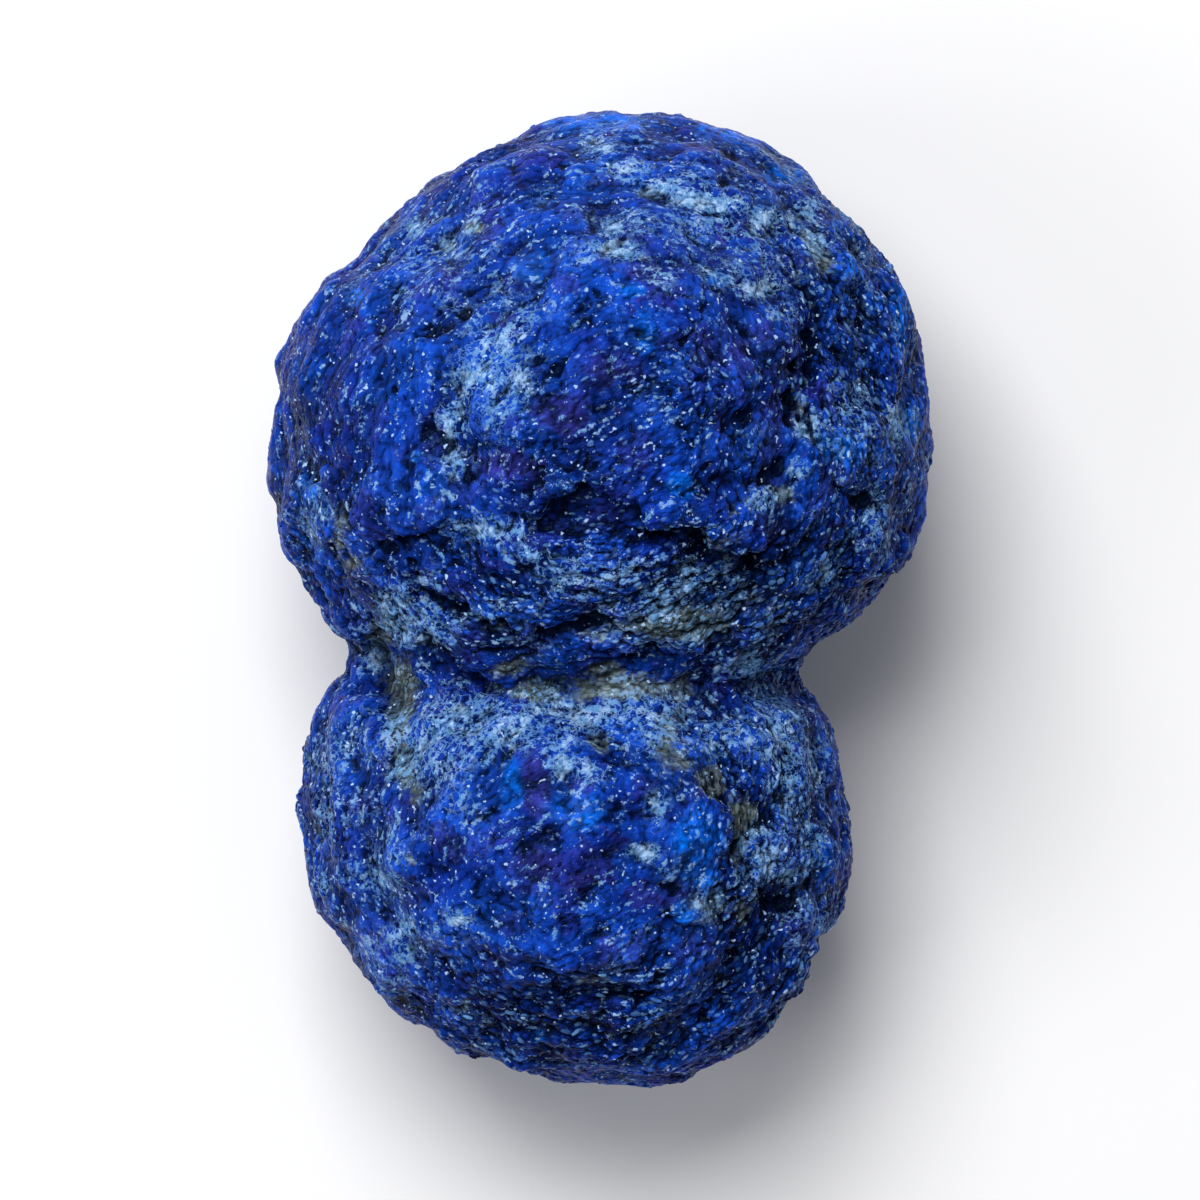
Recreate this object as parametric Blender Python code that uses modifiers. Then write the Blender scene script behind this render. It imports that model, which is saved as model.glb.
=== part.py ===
"""A double azurite concretion, lying on its side.

Two drusy balls have grown into each other, a large one and a smaller one, with a deep waist between them.
The part stands in metres with +Z up. +Y runs along the stone from the small ball to the large one, and +X
lies across it. The origin is under the middle of the stone, on the surface that it rests on.
Sizes below are in millimetres unless a name says otherwise.
"""

import math

import bmesh
import bpy
import numpy as np
from mathutils import Vector, noise

MM = 0.001
NODE_NAME = "azurite_concretion"

# Each ball: its centre seen from above, and its half height.
# The outline radii run round the centre every 15 degrees, from +X towards +Y, as seen from above.
LARGE_BALL = {
    "centre": (0.0, 5.9),
    "half_height": 11.2,
    "outline": (12.1, 12.1, 12.3, 12.25, 12.3, 12.15, 11.8, 11.45, 11.2, 11.0, 11.5, 11.9,
                11.9, 12.2, 12.0, 11.9, 11.8, 11.8, 11.7, 11.6, 11.4, 11.1, 11.6, 12.1),
}
SMALL_BALL = {
    "centre": (-0.8, -9.0),
    "half_height": 9.6,
    "outline": (10.1, 9.9, 10.2, 10.5, 10.2, 9.8, 9.6, 9.7, 10.0, 10.6, 10.8, 10.3,
                10.2, 9.9, 9.4, 9.1, 8.9, 8.7, 8.7, 9.3, 9.7, 9.85, 10.0, 10.1),
}
OUTLINE_STEP_DEG = 15.0
BALL_SUBDIVISIONS = 6
# How far each ball is worn away where the stone rests.
WORN_BASE = 0.65

# Rounded swellings and hollows: (x, y, radius, height). A hollow has a negative height.
TOP_SWELLINGS = (
    (-6.3, 8.1, 4.6, 0.40),
    (1.7, 8.3, 4.2, 0.50),
    (4.3, 2.9, 1.9, 0.75),
    (8.4, 4.9, 2.1, 0.60),
    (9.9, 1.4, 1.7, 0.45),
    (-10.1, 2.9, 1.5, 0.35),
    (-1.7, -9.9, 5.0, 0.35),
    (4.4, -8.2, 2.2, 0.20),
    (-5.4, 6.1, 1.6, -0.50),
    (9.2, 3.4, 0.9, -0.40),
    (-10.1, 4.8, 0.8, -0.40),
    (-4.6, 12.6, 2.4, -0.30),
    (4.2, -11.2, 0.9, -0.35),
    (-8.3, -11.5, 1.6, -0.25),
    (6.6, -8.2, 1.8, -0.25),
    (2.6, -0.6, 1.5, 0.35),
    (-3.4, -1.0, 1.7, 0.30),
    (6.2, -1.2, 1.2, 0.30),
    (7.2, 7.0, 0.9, -0.35),
    (-2.4, -5.3, 1.8, 0.25),
    (8.0, -5.6, 1.6, 0.30),
)
UNDER_SWELLINGS = (
    (-5.7, 6.4, 4.4, 0.40),
    (3.6, 5.6, 4.0, 0.30),
    (0.3, 16.2, 2.6, 0.45),
    (-6.5, 14.2, 2.2, 0.30),
    (4.9, -12.5, 3.0, -0.45),
    (-4.6, -9.0, 3.6, 0.25),
    (9.3, 5.0, 1.5, -0.40),
    (-8.8, -3.2, 1.4, 0.35),
)

# Furrows: (points seen from above, width, depth).
TOP_FURROWS = (
    (((0.8, 15.2), (3.0, 14.2), (5.6, 13.1), (7.9, 11.6), (8.6, 9.2), (8.0, 6.6)), 1.1, 0.40),
    (((-4.1, 8.3), (-5.5, 6.6), (-5.0, 4.4)), 0.8, 0.40),
    (((8.0, 9.4), (7.3, 7.0), (7.0, 5.6), (6.0, 4.4)), 0.7, 0.40),
    (((-9.8, -2.6), (-7.8, -3.1), (-5.6, -3.6), (-3.3, -3.6), (-1.3, -3.4), (0.4, -2.9),
      (3.0, -2.8), (5.1, -3.1), (7.4, -3.3)), 0.7, 0.50),
    (((-8.1, -2.4), (-7.8, -3.6), (-7.3, -4.8), (-7.7, -6.0)), 0.8, 0.45),
    (((-11.2, -9.2), (-9.5, -8.9), (-7.6, -8.8)), 0.6, 0.30),
    (((3.6, -15.4), (5.1, -13.0), (6.1, -11.6), (7.9, -10.5)), 0.7, 0.40),
    (((-8.8, 12.2), (-6.6, 12.0), (-4.4, 13.6)), 0.8, 0.25),
)
UNDER_FURROWS = (
    (((4.9, 14.1), (7.1, 13.0), (9.2, 10.7), (10.5, 8.6)), 0.9, 0.70),
    (((-1.9, 2.6), (-1.3, 5.6), (-1.0, 9.0)), 0.9, 0.40),
    (((7.1, -15.2), (8.2, -12.3), (8.6, -8.9)), 1.2, 0.40),
    (((-1.4, -15.7), (-0.4, -12.3), (0.5, -10.1)), 1.0, 0.30),
    (((-10.0, -1.4), (-7.4, -2.3), (-4.0, -2.5), (0.3, -2.9), (4.5, -2.3), (8.8, -2.2)),
     0.8, 0.50),
)

# Ledges: (points seen from above, rise, undercut, reach). The raised side lies to the left of the path.
TOP_LEDGES = (
    (((-8.4, 1.8), (-7.2, 2.4), (-5.6, 2.8), (-4.5, 3.5)), 0.35, 0.40, 2.0),
    (((-3.2, 2.7), (-1.8, 3.0), (-0.5, 3.4), (0.7, 4.4)), 0.40, 0.50, 1.6),
    (((1.6, 2.2), (2.6, 2.6), (3.3, 2.0), (4.3, 1.6), (5.4, 1.6), (6.4, 2.2)), 0.50, 0.65, 1.4),
    (((6.5, 14.9), (4.7, 16.0), (2.6, 16.6), (0.6, 16.7), (-1.3, 16.6), (-3.9, 16.0)), 0.0, 0.30, 1.2),
    (((-7.4, -0.7), (-5.6, -0.1), (-4.3, 0.1), (-2.6, -0.4), (-1.0, -0.5), (0.6, -0.1), (2.1, 0.3)),
     0.25, 0.35, 1.0),
    (((0.9, -2.2), (2.3, -1.8), (3.6, -2.3)), 0.25, 0.40, 0.9),
    (((5.2, -0.6), (6.4, 0.3), (7.8, 0.9)), 0.25, 0.40, 0.9),
    (((6.6, 1.5), (7.8, 2.0), (9.2, 2.2)), 0.30, 0.45, 1.0),
    (((6.5, -11.4), (5.7, -10.2), (5.0, -8.9), (4.1, -7.4), (2.7, -5.4), (1.9, -4.2)), 0.25, 0.35, 1.8),
    (((1.7, -11.8), (3.0, -12.2), (4.3, -12.3)), 0.25, 0.40, 1.2),
    (((-1.5, -14.2), (0.8, -14.6), (3.0, -14.3)), 0.20, 0.40, 1.4),
)
UNDER_LEDGES = (
    (((-1.1, 7.7), (-0.8, 9.6), (-1.9, 11.2), (-4.4, 10.9), (-6.5, 11.5), (-8.7, 10.7)),
     0.45, 0.60, 2.0),
    (((7.6, 2.4), (8.4, 5.0), (8.0, 7.4)), 0.30, 0.40, 1.5),
)

# Unevenness all over: (size of the lumps, height of the lumps), soft lumps first and then knobbly ones.
SOFT_LUMPS = ((4.2, 0.34), (1.9, 0.26))
KNOBS = ((2.1, 0.55), (1.25, 0.36))
# The knobs are drawn out along X in the wrinkled belt round the waist.
BELT_MIDDLE = -1.6
BELT_WIDTH = 3.2
BELT_STRETCH = 2.2

STEP_SOFTNESS = 0.12
UNDERCUT_WIDTH = 0.55
# The share of a ledge's length over which it fades out at each end.
LEDGE_FADE = 0.2

# The upper relief gives way to the under relief over this height, round the middle of each ball.
SIDE_BLEND = 1.25
WAIST_Y = -3.0

GROWTH_VOXEL = 0.30
WAIST_SMOOTHING = {"factor": 0.5, "iterations": 3}
MOST_TRIANGLES = 9200
SHORTEST_EDGE = 0.01
SHARP_ANGLE_DEG = 60.0

BLUE = (0.022, 0.055, 0.32, 1.0)
ROUGHNESS = 0.62


def clear_scene():
    for obj in list(bpy.data.objects):
        bpy.data.objects.remove(obj)


def outline_radius(outline, angle_deg):
    """The outline's radius at these angles, on a smooth closed curve through its values."""
    place = np.mod(angle_deg, 360.0) / OUTLINE_STEP_DEG
    index = np.floor(place).astype(int)
    share = place - index
    radii = np.array(outline)
    before, here, after, beyond = (radii[(index + k) % len(radii)] for k in (-1, 0, 1, 2))
    slope_here = (after - before) / 2
    slope_after = (beyond - here) / 2
    change = after - here
    return (here + slope_here * share + (3 * change - 2 * slope_here - slope_after) * share**2
            + (slope_here + slope_after - 2 * change) * share**3)


def ball_object(name, ball):
    """A ball with the outline that it shows from above and elliptical upright sections."""
    mesh = bpy.data.meshes.new(name)
    shape = bmesh.new()
    bmesh.ops.create_icosphere(shape, subdivisions=BALL_SUBDIVISIONS, radius=1.0)
    directions = np.array([v.co for v in shape.verts])
    angle = np.degrees(np.arctan2(directions[:, 1], directions[:, 0]))
    across = outline_radius(ball["outline"], angle)
    flat_share = np.hypot(directions[:, 0], directions[:, 1]) / across
    upright_share = directions[:, 2] / ball["half_height"]
    radius = 1.0 / np.hypot(flat_share, upright_share)
    x, y = ball["centre"]
    centre = np.array((x, y, ball["half_height"] - WORN_BASE))
    for vertex, place in zip(shape.verts, centre + directions * radius[:, None], strict=True):
        vertex.co = Vector(place) * MM
    shape.to_mesh(mesh)
    shape.free()
    return bpy.data.objects.new(name, mesh)


def evaluated_mesh(obj):
    """The object's mesh with its modifiers, as a mesh of its own."""
    bpy.context.view_layer.update()
    graph = bpy.context.evaluated_depsgraph_get()
    return bpy.data.meshes.new_from_object(obj.evaluated_get(graph))


def bake_modifiers(obj):
    obj.data = evaluated_mesh(obj)
    obj.modifiers.clear()


def grown_together(collection):
    """Both balls in one even skin, with the crease between them a little softened."""
    stone = ball_object(NODE_NAME, LARGE_BALL)
    small = ball_object("small_ball", SMALL_BALL)
    for obj in (stone, small):
        collection.objects.link(obj)
    union = stone.modifiers.new("grown_together", "BOOLEAN")
    union.operation = "UNION"
    union.object = small
    skin = stone.modifiers.new("even_skin", "REMESH")
    skin.mode = "VOXEL"
    skin.voxel_size = GROWTH_VOXEL * MM
    soft = stone.modifiers.new("softened_waist", "SMOOTH")
    soft.factor = WAIST_SMOOTHING["factor"]
    soft.iterations = WAIST_SMOOTHING["iterations"]
    bake_modifiers(stone)
    bpy.data.objects.remove(small)
    return stone


def distance_to_path(points, path):
    """For points seen from above: distance to the path, which side they lie on, and the share along it."""
    nearest = np.full(len(points), np.inf)
    side = np.zeros(len(points))
    along = np.zeros(len(points))
    stops = np.array(path)
    lengths = np.linalg.norm(np.diff(stops, axis=0), axis=1)
    run = 0.0
    for start, end, length in zip(stops[:-1], stops[1:], lengths, strict=True):
        step = (end - start) / length
        offset = points - start
        share = np.clip(offset @ step, 0.0, length)
        gap = offset - share[:, None] * step
        distance = np.linalg.norm(gap, axis=1)
        closer = distance < nearest
        nearest = np.where(closer, distance, nearest)
        side = np.where(closer, np.sign(step[0] * gap[:, 1] - step[1] * gap[:, 0]), side)
        along = np.where(closer, (run + share) / lengths.sum(), along)
        run += length
    return nearest, side, along


def swelling(points, x, y, radius, height):
    distance = np.hypot(points[:, 0] - x, points[:, 1] - y)
    return height * np.exp(-((distance / radius) ** 2))


def furrow(points, path, width, depth):
    distance, _, _ = distance_to_path(points, path)
    return -depth * np.exp(-((distance / width) ** 2))


def ledge(points, path, rise, undercut, reach):
    """A step: raised on the left of the path, cut in just to the right of it, and fading at both ends."""
    distance, side, along = distance_to_path(points, path)
    fade = np.clip(np.minimum(along, 1.0 - along) / LEDGE_FADE, 0.0, 1.0)
    high = rise * np.exp(-((distance / reach) ** 2))
    low = -undercut * np.exp(-((distance / UNDERCUT_WIDTH) ** 2))
    high_share = 0.5 + 0.5 * np.tanh(side * distance / STEP_SOFTNESS)
    return fade * (high_share * high + (1.0 - high_share) * low)


def lumpiness(places):
    """Uneven lumps of several sizes, the same on every run."""
    belt = np.exp(-(((places[:, 1] - BELT_MIDDLE) / BELT_WIDTH) ** 2))
    drawn_out = places.copy()
    drawn_out[:, 0] /= 1.0 + (BELT_STRETCH - 1.0) * belt
    total = np.zeros(len(places))
    for size, height in SOFT_LUMPS:
        total += [height * noise.noise(Vector(place) / size) for place in places]
    for size, height in KNOBS:
        nearest = np.array([noise.voronoi(Vector(place) / size)[0][0] for place in drawn_out])
        total += height * (0.5 - np.minimum(nearest, 1.0))
    return total


def side_share(places, side):
    """How much of each place belongs to this side of the stone: 1 is the upper side, -1 the under side."""
    on_large = places[:, 1] > WAIST_Y
    half_height = np.where(on_large, LARGE_BALL["half_height"], SMALL_BALL["half_height"])
    height = side * (places[:, 2] + WORN_BASE - half_height)
    return 1.0 / (1.0 + np.exp(-height / SIDE_BLEND))


def relief_of(places):
    """How far the surface stands out at each place, in millimetres."""
    seen_from_above = places[:, :2]
    sides = ((1, TOP_SWELLINGS, TOP_FURROWS, TOP_LEDGES),
             (-1, UNDER_SWELLINGS, UNDER_FURROWS, UNDER_LEDGES))
    total = lumpiness(places)
    for side, swellings, furrows, ledges in sides:
        relief = sum(swelling(seen_from_above, *numbers) for numbers in swellings)
        relief += sum(furrow(seen_from_above, *numbers) for numbers in furrows)
        relief += sum(ledge(seen_from_above, *numbers) for numbers in ledges)
        total += side_share(places, side) * relief
    return total


def raise_relief(stone):
    """Moves the skin out and in along its normals."""
    count = len(stone.data.vertices)
    places = np.empty(count * 3)
    normals = np.empty(count * 3)
    stone.data.vertices.foreach_get("co", places)
    stone.data.vertex_normals.foreach_get("vector", normals)
    places = places.reshape(-1, 3) / MM
    moved = places + normals.reshape(-1, 3) * relief_of(places)[:, None]
    stone.data.vertices.foreach_set("co", (moved * MM).ravel())
    stone.data.update()


def reduce_faces(stone):
    thinner = stone.modifiers.new("fewer_faces", "DECIMATE")
    stone.data.calc_loop_triangles()
    thinner.ratio = MOST_TRIANGLES / len(stone.data.loop_triangles)
    thinner.use_collapse_triangulate = True
    bake_modifiers(stone)


def wear_base_flat(stone):
    """The two small flats that the stone rests on."""
    for vertex in stone.data.vertices:
        vertex.co.z = max(vertex.co.z, 0.0)
    shape = bmesh.new()
    shape.from_mesh(stone.data)
    bmesh.ops.dissolve_degenerate(shape, dist=SHORTEST_EDGE * MM, edges=shape.edges)
    bmesh.ops.triangulate(shape, faces=shape.faces)
    shape.to_mesh(stone.data)
    shape.free()


def centre_over_origin(stone):
    """Puts the middle of the stone's length and breadth over the origin."""
    places = np.array([vertex.co for vertex in stone.data.vertices])
    middle = (places.min(axis=0) + places.max(axis=0)) / 2
    for vertex in stone.data.vertices:
        vertex.co.x -= middle[0]
        vertex.co.y -= middle[1]


def azurite_material():
    material = bpy.data.materials.new("azurite")
    material.use_nodes = True
    shader = material.node_tree.nodes["Principled BSDF"]
    shader.inputs["Base Color"].default_value = BLUE
    shader.inputs["Roughness"].default_value = ROUGHNESS
    shader.inputs["Metallic"].default_value = 0.0
    material.diffuse_color = BLUE
    return material


def build_specimen():
    clear_scene()
    collection = bpy.data.collections.new("azurite_specimen")
    bpy.context.scene.collection.children.link(collection)
    stone = grown_together(collection)
    raise_relief(stone)
    reduce_faces(stone)
    wear_base_flat(stone)
    centre_over_origin(stone)
    stone.data.materials.clear()
    stone.data.materials.append(azurite_material())
    stone.data.shade_smooth()
    stone.data.set_sharp_from_angle(angle=math.radians(SHARP_ANGLE_DEG))


build_specimen()
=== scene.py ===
"""The looks of a double azurite concretion: its wrinkled skin, the fine druse on it, and a plain stage.

The stone lies as its solid does, in metres, with +Z up and +Y from the small ball to the large one.
Marks on the stone are traced over two views of it, in their pixels. MM_PER_PIXEL turns them into
millimetres. One view shows the upper side. The other shows the under side, turned about a level axis.
"""

import itertools
import math

import bpy
import numpy as np
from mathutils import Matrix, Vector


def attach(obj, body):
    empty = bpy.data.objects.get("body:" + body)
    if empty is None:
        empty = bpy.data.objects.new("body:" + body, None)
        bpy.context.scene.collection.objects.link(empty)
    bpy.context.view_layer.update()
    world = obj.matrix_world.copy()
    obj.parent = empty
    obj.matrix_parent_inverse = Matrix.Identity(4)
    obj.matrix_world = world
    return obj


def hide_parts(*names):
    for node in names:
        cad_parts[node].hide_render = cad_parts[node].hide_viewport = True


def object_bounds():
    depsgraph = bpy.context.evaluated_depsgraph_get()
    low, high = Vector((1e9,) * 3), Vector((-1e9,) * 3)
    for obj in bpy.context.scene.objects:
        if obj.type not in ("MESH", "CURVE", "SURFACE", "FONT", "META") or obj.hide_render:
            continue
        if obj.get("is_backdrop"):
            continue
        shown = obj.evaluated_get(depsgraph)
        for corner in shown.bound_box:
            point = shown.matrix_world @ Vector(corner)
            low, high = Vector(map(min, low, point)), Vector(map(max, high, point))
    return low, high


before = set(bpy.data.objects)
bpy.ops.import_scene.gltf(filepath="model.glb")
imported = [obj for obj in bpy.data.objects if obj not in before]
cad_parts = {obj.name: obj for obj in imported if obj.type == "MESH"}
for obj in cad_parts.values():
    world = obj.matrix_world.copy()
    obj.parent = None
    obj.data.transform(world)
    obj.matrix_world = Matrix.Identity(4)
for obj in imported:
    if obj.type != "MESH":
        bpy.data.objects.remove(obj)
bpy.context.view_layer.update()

bl_info = {
    "name": "Azurite Concretion",
    "version": (1, 0, 0),
    "blender": (4, 5, 0),
    "location": "3D View > Sidebar > Azurite",
    "description": "Grows the skin and the druse of a double azurite ball, and sets its stage",
    "category": "Add Mesh",
}

MM = 0.001
NODE = "azurite_concretion"
BODY = "root"

# Where each view's middle is, in its pixels, and its scale.
UPPER_VIEW = {"middle": (330.2, 632.1), "mm_per_pixel": 0.04306, "up": -1}
UNDER_VIEW = {"middle": (893.7, 665.4), "mm_per_pixel": 0.0425, "up": 1}

LARGE_CENTRE = (0.0, 6.0, 10.5)
SMALL_CENTRE = (-0.8, -8.9, 9.0)
WAIST_Y = -3.0
WAIST_HALF_WIDTH = 0.8
MIDDLE_FLOW = np.array((0.88, 0.47, 0.0))
BELT_MIDDLE = -0.9
BELT_HALF_WIDTH = 3.0

# Overhangs: (points in pixels, width of the crack, its depth, rise of the lip above it, all in mm).
UPPER_OVERHANGS = (
    (((370, 577), (380, 573), (396, 571), (408, 575), (414, 587), (430, 593), (453, 594), (472, 588)),
     0.30, 0.75, 0.70),
    (((283, 553), (300, 552), (312, 547), (322, 539)), 0.30, 0.75, 0.55),
    (((143, 589), (164, 587), (170, 577), (185, 572), (199, 564), (206, 555), (224, 551)), 0.20, 0.20, 0.25),
    (((449, 532), (464, 532), (478, 522), (491, 507), (497, 492)), 0.24, 0.30, 0.20),
    (((526, 532), (535, 541), (547, 547), (560, 546)), 0.22, 0.28, 0.20),
    (((385, 902), (403, 907), (423, 906)), 0.22, 0.45, 0.25),
    (((366, 868), (378, 871), (397, 874)), 0.20, 0.25, 0.15),
    (((232, 956), (261, 962), (290, 962), (309, 964), (334, 960), (360, 964)), 0.24, 0.25, 0.15),
    (((276, 1006), (290, 1012), (309, 1014)), 0.22, 0.22, 0.10),
    (((233, 656), (243, 654), (253, 652)), 0.26, 0.45, 0.15),
)
UPPER_CRACKS = (
    (((260, 433), (270, 430), (281, 425)), 0.18, 0.20),
    (((280, 446), (292, 442), (303, 428), (315, 415), (329, 410)), 0.16, 0.22),
    (((182, 394), (184, 407), (194, 404), (206, 398)), 0.16, 0.15),
    (((198, 344), (211, 352), (223, 344)), 0.20, 0.15),
    (((310, 362), (317, 356), (325, 350)), 0.16, 0.15),
    (((330, 342), (341, 332), (352, 326)), 0.16, 0.15),
    (((490, 334), (498, 351), (502, 365), (514, 380), (514, 394)), 0.20, 0.26),
    (((533, 391), (531, 410), (529, 439)), 0.20, 0.26),
    (((418, 364), (420, 382), (414, 399), (406, 409), (396, 416)), 0.17, 0.24),
    (((495, 403), (508, 411), (510, 433), (498, 455), (477, 463), (460, 475), (433, 487)), 0.22, 0.26),
    (((462, 456), (483, 447), (496, 430)), 0.18, 0.20),
    (((355, 439), (378, 428)), 0.16, 0.15),
    (((170, 599), (174, 618), (184, 631), (197, 637)), 0.20, 0.22),
    (((162, 614), (188, 610), (212, 602)), 0.18, 0.18),
    (((260, 677), (279, 664), (308, 656), (340, 645)), 0.20, 0.22),
    (((203, 696), (218, 699), (231, 702), (245, 705)), 0.16, 0.34),
    (((252, 707), (266, 702), (289, 703), (317, 701), (330, 695), (350, 691), (375, 691), (404, 690)),
     0.13, 0.16),
    (((307, 674), (336, 678), (365, 684)), 0.20, 0.22),
    (((367, 674), (386, 681), (400, 684)), 0.22, 0.32),
    (((281, 793), (296, 804), (308, 808)), 0.18, 0.15),
    (((443, 815), (447, 836), (455, 854), (462, 869), (474, 889), (484, 891), (496, 886), (503, 874),
      (515, 870)), 0.22, 0.32),
    (((474, 889), (469, 898), (466, 909)), 0.20, 0.24),
    (((136, 655), (143, 672), (148, 690), (151, 708), (148, 730)), 0.45, 0.35),
)
# Pits: (x, y, half width in pixels, depth in mm).
UPPER_PITS = (
    (158, 457, 4, 0.30), (239, 479, 4, 0.30), (216, 389, 5, 0.35), (330, 373, 5, 0.30),
    (359, 631, 6, 0.65), (434, 280, 5, 0.35), (430, 262, 4, 0.35), (548, 397, 4, 0.35),
    (475, 294, 4, 0.30), (443, 252, 5, 0.35), (92, 530, 6, 0.40), (99, 516, 5, 0.35), (105, 587, 5, 0.35),
    (447, 934, 8, 0.55), (465, 947, 7, 0.50), (484, 934, 7, 0.55), (484, 948, 6, 0.45), (505, 938, 6, 0.50),
    (477, 960, 6, 0.40), (436, 979, 6, 0.40), (528, 919, 5, 0.45), (519, 923, 5, 0.45), (381, 954, 7, 0.45),
    (365, 969, 6, 0.40), (416, 985, 5, 0.35), (459, 937, 5, 0.35), (175, 987, 4, 0.30), (160, 978, 4, 0.30),
    (217, 1018, 4, 0.30), (493, 461, 6, 0.50), (298, 452, 3, 0.25),
)
UNDER_OVERHANGS = (
    (((1010, 1000), (1040, 975), (1075, 950), (1110, 915), (1140, 875)), 0.34, 0.50, 0.25),
    (((690, 985), (735, 962), (800, 942), (850, 930), (870, 920)), 0.26, 0.30, 0.25),
)
UNDER_CRACKS = (
    (((700, 600), (760, 618), (830, 600), (900, 605), (970, 610), (1040, 640), (1090, 620)), 0.26, 0.38),
    (((850, 395), (880, 420), (890, 455)), 0.20, 0.20),
    (((1060, 330), (1085, 380), (1090, 440)), 0.24, 0.26),
    (((870, 740), (900, 790), (880, 850)), 0.18, 0.18),
    (((960, 880), (1000, 930), (990, 990)), 0.20, 0.22),
)
UNDER_PITS = (
    (1010, 372, 20, 0.55), (830, 470, 4, 0.30), (905, 480, 4, 0.30), (930, 545, 4, 0.30),
    (760, 700, 4, 0.30), (1100, 800, 6, 0.40), (1085, 900, 6, 0.40), (700, 900, 5, 0.35),
)

# Colour patches: (x, y, half width, half height in pixels, strength).
UPPER_DUST = (
    (356, 269, 16, 8, 0.9), (381, 285, 18, 7, 0.9), (404, 293, 20, 7, 1.0), (438, 299, 24, 7, 0.9),
    (468, 308, 16, 10, 0.8), (430, 316, 22, 12, 0.7), (340, 316, 12, 7, 0.8), (346, 338, 22, 9, 1.0),
    (466, 369, 16, 11, 0.9), (482, 388, 12, 8, 0.7), (516, 330, 14, 12, 0.8), (510, 300, 16, 10, 0.6),
    (332, 245, 20, 15, 0.55), (172, 317, 12, 11, 0.8), (300, 236, 26, 8, 0.15),
    (270, 396, 13, 10, 0.8), (250, 416, 9, 16, 0.9), (232, 446, 26, 11, 1.0), (204, 484, 10, 18, 0.8),
    (206, 514, 8, 12, 0.7), (240, 574, 28, 11, 0.9), (275, 595, 14, 6, 1.0), (314, 612, 24, 16, 0.7),
    (358, 605, 12, 8, 0.9), (165, 630, 11, 14, 0.8), (136, 683, 8, 8, 0.9), (156, 740, 13, 22, 0.9),
    (240, 741, 30, 9, 0.8), (298, 768, 11, 12, 1.0), (322, 776, 14, 9, 0.8), (378, 806, 10, 16, 0.7),
    (365, 844, 12, 6, 0.9), (468, 850, 13, 26, 0.9), (486, 862, 10, 9, 1.0), (421, 886, 13, 15, 0.9),
    (158, 916, 18, 15, 0.7), (212, 900, 10, 6, 1.0), (165, 931, 8, 9, 0.9), (90, 872, 6, 13, 0.7),
    (403, 610, 13, 13, 0.7), (497, 524, 8, 8, 0.9), (467, 548, 16, 12, 0.8), (540, 466, 14, 14, 0.7),
    (504, 486, 11, 11, 0.8), (582, 481, 16, 18, 0.7), (452, 690, 20, 9, 0.7), (330, 735, 50, 22, 0.5),
    (190, 760, 40, 30, 0.4), (430, 745, 40, 20, 0.5), (495, 770, 30, 30, 0.5), (90, 560, 14, 30, 0.4),
    (560, 560, 18, 30, 0.5), (520, 610, 26, 14, 0.5), (380, 360, 14, 8, 0.5), (540, 290, 12, 24, 0.4),
    (250, 640, 34, 12, 0.4), (205, 800, 18, 40, 0.35), (150, 860, 24, 30, 0.4), (510, 905, 22, 26, 0.5),
    (230, 735, 70, 24, 0.7), (360, 730, 70, 22, 0.7), (480, 740, 40, 34, 0.6), (170, 765, 40, 40, 0.5),
    (170, 650, 40, 34, 0.6), (400, 640, 90, 34, 0.35), (550, 470, 22, 50, 0.4), (420, 320, 110, 50, 0.35),
    (470, 262, 44, 18, 0.3), (545, 350, 24, 50, 0.3), (240, 430, 40, 70, 0.4),
    (100, 790, 26, 60, 0.45), (500, 850, 30, 60, 0.35), (200, 340, 60, 40, 0.3), (150, 940, 40, 40, 0.35),
)
UPPER_EARTH = (
    (224, 317, 13, 6, 0.8), (202, 334, 10, 9, 0.6), (516, 345, 16, 12, 0.8), (505, 325, 14, 10, 0.6),
    (112, 578, 12, 22, 0.7), (124, 600, 14, 9, 0.8), (143, 664, 12, 18, 0.9), (158, 702, 12, 22, 1.0),
    (160, 732, 12, 26, 0.9), (175, 665, 26, 10, 0.5), (270, 710, 26, 8, 0.9), (247, 690, 22, 9, 0.7),
    (356, 706, 46, 14, 1.0), (330, 751, 10, 11, 0.7), (387, 742, 13, 26, 0.8), (172, 793, 7, 14, 0.5),
    (170, 851, 8, 10, 0.7), (400, 762, 16, 18, 0.5), (424, 788, 12, 16, 0.8), (453, 814, 13, 14, 0.9),
    (452, 845, 9, 24, 0.6), (420, 892, 15, 14, 0.8), (452, 897, 8, 14, 0.6), (436, 557, 9, 9, 0.7),
    (395, 654, 50, 14, 0.85), (336, 694, 26, 8, 0.8), (485, 545, 16, 10, 0.6), (430, 578, 24, 8, 0.5),
    (330, 665, 40, 10, 0.5), (212, 978, 9, 8, 0.6), (320, 953, 14, 7, 0.5), (500, 466, 9, 22, 0.55),
    (65, 500, 6, 26, 0.5), (470, 640, 30, 14, 0.4), (250, 650, 30, 10, 0.5), (210, 720, 22, 10, 0.5),
    (163, 768, 9, 22, 0.8),
)
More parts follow.
